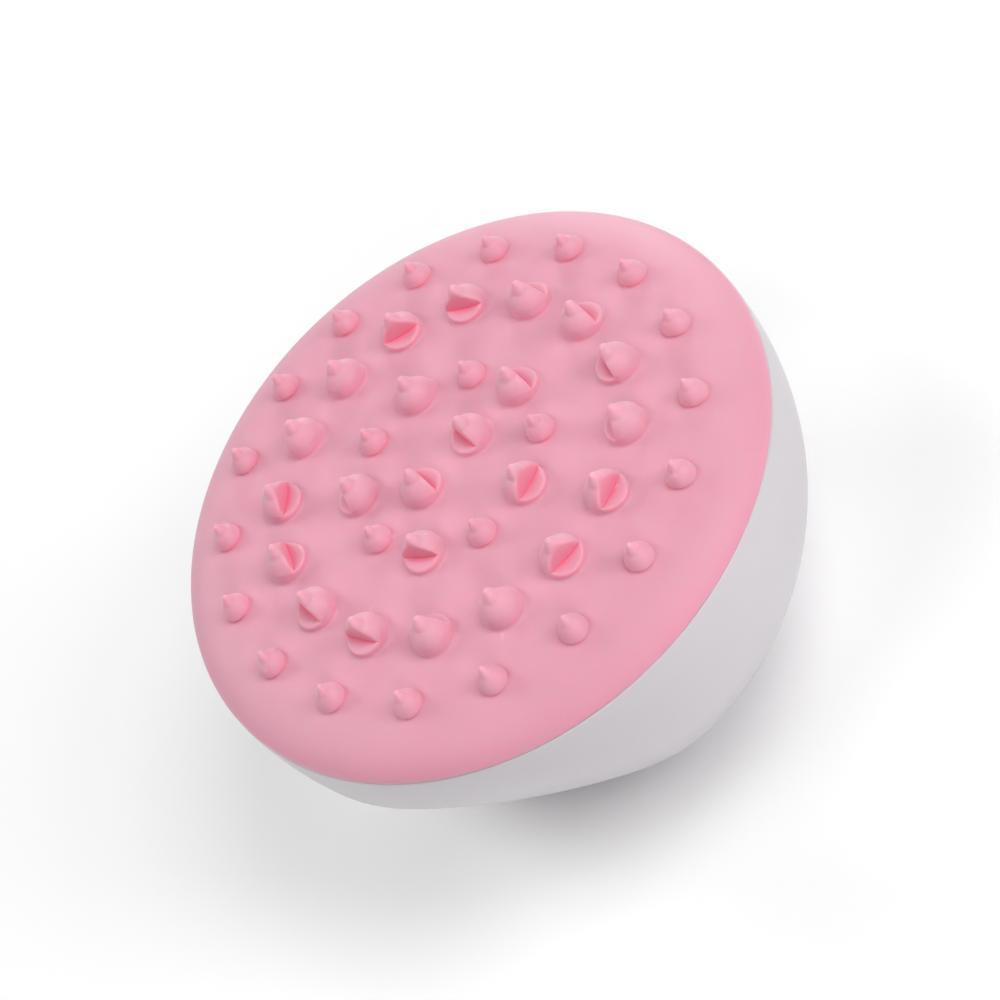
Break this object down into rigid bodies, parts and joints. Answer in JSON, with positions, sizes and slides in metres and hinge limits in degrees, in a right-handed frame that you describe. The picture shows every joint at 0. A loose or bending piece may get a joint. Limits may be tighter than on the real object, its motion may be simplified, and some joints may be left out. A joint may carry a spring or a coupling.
{
  "type": "facial cleansing brush",
  "caption": "Palm-held cleansing and massage brush: a round soft pad with raised pointed nubs on a hollow domed handle with two grip flats and a flat foot.",
  "frame": {"origin": "centre of the handle's flat foot, on the brush's axis", "axes": "+Z along the axis, out of the nubbed face; +X through the two middle nubs"},
  "size_m": [0.1062, 0.1062, 0.064],
  "materials": {
    "handle_plastic": "smooth satin white ABS with a fine moulded grain",
    "seal_rubber": "matte grey silicone rubber",
    "plate_plastic": "matte white ABS, as moulded",
    "screw_steel": "plain stainless steel, lightly brushed",
    "pad_silicone": "soft matte pink silicone"
  },
  "bodies": {
    "root": {"handle_shell": "handle_plastic", "seal_ring": "seal_rubber", "backing_plate": "plate_plastic", "plate_screws": "screw_steel", "massage_pad": "pad_silicone"}
  },
  "joints": []
}
